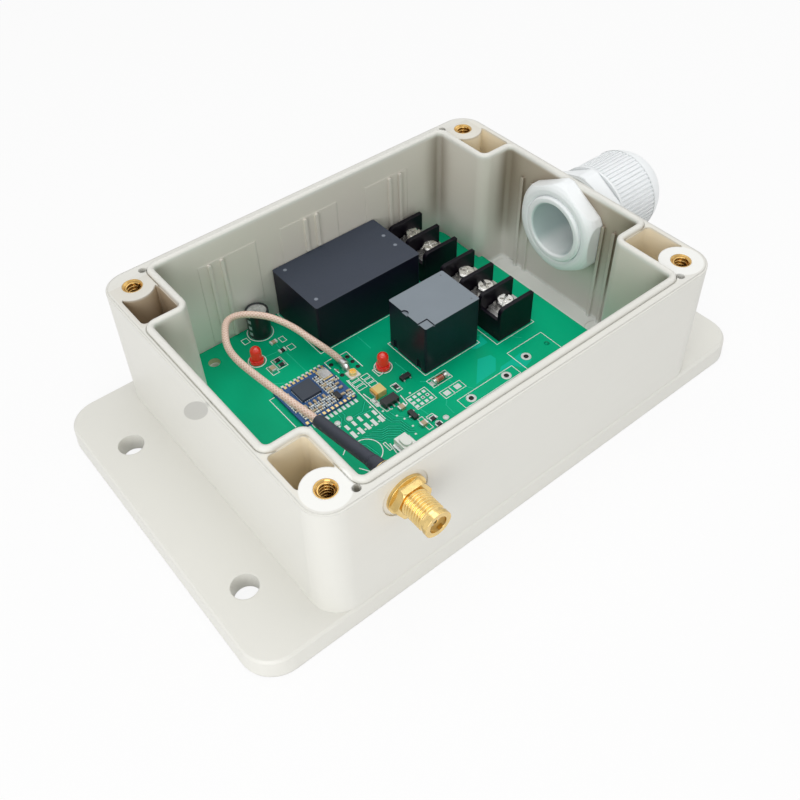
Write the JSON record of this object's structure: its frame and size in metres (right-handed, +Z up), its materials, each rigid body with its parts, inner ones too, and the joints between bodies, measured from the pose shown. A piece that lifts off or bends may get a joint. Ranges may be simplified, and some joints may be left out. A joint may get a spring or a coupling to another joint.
{
  "type": "wireless relay switch unit",
  "caption": "Open flanged plastic housing with a relay switch board, screw terminals, cable gland and threaded antenna connector.",
  "frame": {"origin": "centre of the housing's plan, on the flat underside", "axes": "+X along the long side towards the cable gland, +Y towards the back wall, away from the antenna connector, +Z up out of the open top"},
  "size_m": [0.1599, 0.1, 0.0404],
  "materials": {
    "off_white_shell": "satin off-white moulded plastic",
    "brass": "machined brass",
    "gold_plate": "gold plated",
    "green_board": "green solder mask",
    "blue_board": "dark blue solder mask",
    "black_case": "fine black case",
    "black_barrier": "black terminal moulding",
    "tinned": "tinned metal",
    "nickel_steel": "nickel plated steel",
    "capacitor_sleeve": "black shrink film",
    "bare_aluminium": "bare aluminium",
    "red_lamp": "tinted clear red epoxy",
    "white_nylon": "white nylon",
    "grey_rubber": "dark grey rubber",
    "coax_jacket": "brown cable jacket",
    "black_sleeve": "black shrink sleeve",
    "ptfe": "white insulator",
    "yellow_mould": "yellow moulded case",
    "diode_glass": "red-brown glass body",
    "ceramic_tan": "tan ceramic",
    "resistor_black": "black chip coating",
    "white_plastic": "white plastic",
    "relay_copper": "enamelled copper winding",
    "relay_iron": "soft iron",
    "contact_metal": "contact alloy"
  },
  "bodies": {
    "housing": {"enclosure_base": "off_white_shell", "brass_inserts": "brass", "circuit_board": "green_board", "board_screws": "nickel_steel", "power_module_case": "black_case", "power_module_pins": "tinned", "relay_base": "black_case", "relay_cover": "black_case", "relay_coil": "relay_copper", "relay_core": "relay_iron", "relay_yoke": "relay_iron", "relay_contacts": "contact_metal", "two_way_terminal_body": "black_barrier", "two_way_terminal_strips": "tinned", "three_way_terminal_body": "black_barrier", "three_way_terminal_strips": "tinned", "capacitor_sleeve": "capacitor_sleeve", "capacitor_can": "bare_aluminium", "indicator_lamps": "red_lamp", "through_hole_leads": "tinned", "radio_board": "blue_board", "radio_pads": "gold_plate", "radio_chip": "black_case", "radio_crystal": "tinned", "radio_parts": "ceramic_tan", "coax_socket": "gold_plate", "coax_ferrule": "tinned", "coax_cable": "coax_jacket", "shrink_sleeve": "black_sleeve", "bulkhead_body": "gold_plate", "bulkhead_insulator": "ptfe", "bulkhead_contact": "gold_plate", "bulkhead_washer": "gold_plate", "bulkhead_nut": "gold_plate", "gland_locknut": "white_nylon", "gland_body": "white_nylon", "gland_seal_washer": "white_nylon", "tantalum_capacitor": "yellow_mould", "voltage_regulator": "black_case", "small_transistors": "black_case", "part_terminals": "tinned", "glass_diode": "diode_glass", "chip_capacitors": "ceramic_tan", "chip_resistors": "resistor_black", "button_frame": "white_plastic", "button_legs": "tinned"},
    "clamp_plate_1": {"clamp_plate_1": "nickel_steel"},
    "terminal_screw_1": {"terminal_screw_1": "nickel_steel"},
    "clamp_plate_2": {"clamp_plate_2": "nickel_steel"},
    "terminal_screw_2": {"terminal_screw_2": "nickel_steel"},
    "clamp_plate_3": {"clamp_plate_3": "nickel_steel"},
    "terminal_screw_3": {"terminal_screw_3": "nickel_steel"},
    "clamp_plate_4": {"clamp_plate_4": "nickel_steel"},
    "terminal_screw_4": {"terminal_screw_4": "nickel_steel"},
    "clamp_plate_5": {"clamp_plate_5": "nickel_steel"},
    "terminal_screw_5": {"terminal_screw_5": "nickel_steel"},
    "gland_seal_insert": {"gland_seal_insert": "grey_rubber"},
    "gland_dome_nut": {"gland_dome_nut": "white_nylon"},
    "button_plunger": {"button_plunger": "white_plastic"},
    "relay_armature": {"relay_armature": "relay_iron"}
  },
  "joints": [
    {"name": "clamp_1_lift", "type": "slide", "parent": "housing", "child": "clamp_plate_1", "axis": [0, 0, 1], "range_m": [0, 0.002]},
    {"name": "screw_1_turn", "type": "hinge", "parent": "clamp_plate_1", "child": "terminal_screw_1", "pos_m": [0.0302, -0.00319, 0.0152], "axis": [0, 0, 1], "range_deg": [0, 1440]},
    {"name": "clamp_2_lift", "type": "slide", "parent": "housing", "child": "clamp_plate_2", "axis": [0, 0, 1], "range_m": [0, 0.002]},
    {"name": "screw_2_turn", "type": "hinge", "parent": "clamp_plate_2", "child": "terminal_screw_2", "pos_m": [0.0302, 0.00443, 0.0152], "axis": [0, 0, 1], "range_deg": [0, 1440]},
    {"name": "clamp_3_lift", "type": "slide", "parent": "housing", "child": "clamp_plate_3", "axis": [0, 0, 1], "range_m": [0, 0.002]},
    {"name": "screw_3_turn", "type": "hinge", "parent": "clamp_plate_3", "child": "terminal_screw_3", "pos_m": [0.0302, 0.01205, 0.0152], "axis": [0, 0, 1], "range_deg": [0, 1440]},
    {"name": "clamp_4_lift", "type": "slide", "parent": "housing", "child": "clamp_plate_4", "axis": [0, 0, 1], "range_m": [0, 0.002]},
    {"name": "screw_4_turn", "type": "hinge", "parent": "clamp_plate_4", "child": "terminal_screw_4", "pos_m": [0.0302, 0.02696, 0.0152], "axis": [0, 0, 1], "range_deg": [0, 1440]},
    {"name": "clamp_5_lift", "type": "slide", "parent": "housing", "child": "clamp_plate_5", "axis": [0, 0, 1], "range_m": [0, 0.002]},
    {"name": "screw_5_turn", "type": "hinge", "parent": "clamp_plate_5", "child": "terminal_screw_5", "pos_m": [0.0302, 0.03458, 0.0152], "axis": [0, 0, 1], "range_deg": [0, 1440]},
    {"name": "gland_insert_slide", "type": "slide", "parent": "housing", "child": "gland_seal_insert", "axis": [1, 0, 0], "range_m": [0, 0.003]},
    {"name": "dome_nut_turn", "type": "hinge", "parent": "gland_seal_insert", "child": "gland_dome_nut", "pos_m": [0.07, 0, 0.0271], "axis": [1, 0, 0], "range_deg": [0, 720]},
    {"name": "button_press", "type": "slide", "parent": "housing", "child": "button_plunger", "axis": [0, 0, -1], "range_m": [0, 0.00025], "stiffness_N_per_m": 400, "springref_m": -0.001},
    {"name": "armature_tilt", "type": "hinge", "parent": "housing", "child": "relay_armature", "pos_m": [0.0135, 0.0032, 0.0192], "axis": [0, -1, 0], "range_deg": [0, 4], "stiffness_Nm_per_rad": 0.005, "springref_deg": -5.73}
  ],
  "couplings": [
    {"joint": "screw_1_turn", "follows": "clamp_1_lift", "rad_per_m": 12566},
    {"joint": "screw_2_turn", "follows": "clamp_2_lift", "rad_per_m": 12566},
    {"joint": "screw_3_turn", "follows": "clamp_3_lift", "rad_per_m": 12566},
    {"joint": "screw_4_turn", "follows": "clamp_4_lift", "rad_per_m": 12566},
    {"joint": "screw_5_turn", "follows": "clamp_5_lift", "rad_per_m": 12566},
    {"joint": "dome_nut_turn", "follows": "gland_insert_slide", "rad_per_m": 4188.7}
  ]
}
